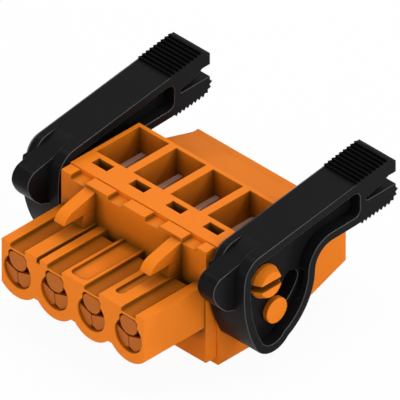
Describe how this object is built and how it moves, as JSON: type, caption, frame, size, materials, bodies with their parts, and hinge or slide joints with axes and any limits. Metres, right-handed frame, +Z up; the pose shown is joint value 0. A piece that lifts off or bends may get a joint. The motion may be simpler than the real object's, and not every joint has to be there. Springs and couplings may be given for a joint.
{
  "type": "socket header",
  "caption": "Female pluggable connector for wires, with a row of socket towers, spring clamps behind windows and a release lever at each end.",
  "frame": {"origin": "centre of the flat foot of the clamp housing, on the surface that it stands on", "axes": "+X along the row of poles, -Y is the mating direction, +Z up through the windows"},
  "size_m": [0.046, 0.0442, 0.027],
  "materials": {
    "housing_plastic": "moulded, fine satin",
    "lever_plastic": "moulded, satin",
    "contact_metal": "tinned copper alloy, slightly brown",
    "frame_metal": "stamped strip, dull",
    "spring_steel": "rolled strip"
  },
  "bodies": {
    "plug": {"contact_housing": "housing_plastic", "clamp_housing": "housing_plastic", "socket_contact_1": "contact_metal", "contact_clip_1": "spring_steel", "clamp_frame_1": "frame_metal", "clamp_spring_1": "spring_steel", "socket_contact_2": "contact_metal", "contact_clip_2": "spring_steel", "clamp_frame_2": "frame_metal", "clamp_spring_2": "spring_steel", "socket_contact_3": "contact_metal", "contact_clip_3": "spring_steel", "clamp_frame_3": "frame_metal", "clamp_spring_3": "spring_steel", "socket_contact_4": "contact_metal", "contact_clip_4": "spring_steel", "clamp_frame_4": "frame_metal", "clamp_spring_4": "spring_steel"},
    "left_lever": {"lever_left": "lever_plastic"},
    "right_lever": {"lever_right": "lever_plastic"}
  },
  "joints": [
    {"name": "left_lever_hinge", "type": "hinge", "parent": "plug", "child": "left_lever", "pos_m": [-0.01916, -0.0022, 0.0164], "axis": [1, 0, 0], "range_deg": [-45, 0]},
    {"name": "right_lever_hinge", "type": "hinge", "parent": "plug", "child": "right_lever", "pos_m": [0.01916, -0.0022, 0.0164], "axis": [1, 0, 0], "range_deg": [-45, 0]}
  ]
}
